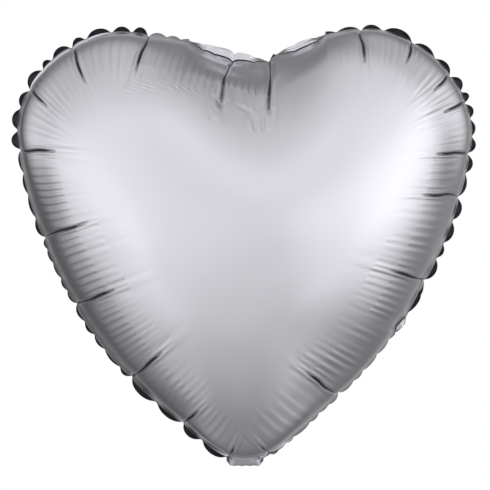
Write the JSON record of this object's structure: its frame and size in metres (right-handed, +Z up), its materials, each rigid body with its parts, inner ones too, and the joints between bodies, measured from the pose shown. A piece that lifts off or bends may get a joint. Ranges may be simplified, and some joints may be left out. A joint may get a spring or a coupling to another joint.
{
  "type": "heart-shaped foil balloon",
  "caption": "Inflated heart-shaped foil balloon with a heat-sealed margin, a filling tail that folds behind it and a self-sealing film valve inside the neck.",
  "frame": {"origin": "middle of the fold line between the balloon's neck and its filling tail, where a ribbon is tied", "axes": "+Z up through the heart, front panel towards -Y, back panel and folded tail towards +Y, +X to the right as seen from the front"},
  "size_m": [0.3833, 0.193, 0.3637],
  "materials": {
    "foil": "satin metallised film",
    "seal": "bright metallised film, welded and slightly ruffled",
    "valve_film": "clear to milky soft film"
  },
  "bodies": {
    "balloon": {"front_panel": "foil", "back_panel": "foil", "edge_seal": "seal", "valve_root": "valve_film"},
    "tail": {"tail_front": "foil", "tail_back": "foil", "tail_edge_seal": "seal", "valve_inlet_front": "valve_film", "valve_inlet_back": "valve_film"},
    "valve": {"valve_flap_front": "valve_film", "valve_flap_back": "valve_film"}
  },
  "joints": [
    {"name": "tail_fold", "type": "hinge", "parent": "balloon", "child": "tail", "pos_m": [0, 0, 0], "axis": [-1, 0, 0], "range_deg": [0, 200]},
    {"name": "valve_swing", "type": "hinge", "parent": "balloon", "child": "valve", "pos_m": [0, 0, 0.0055], "axis": [1, 0, 0], "range_deg": [-20, 20]}
  ]
}
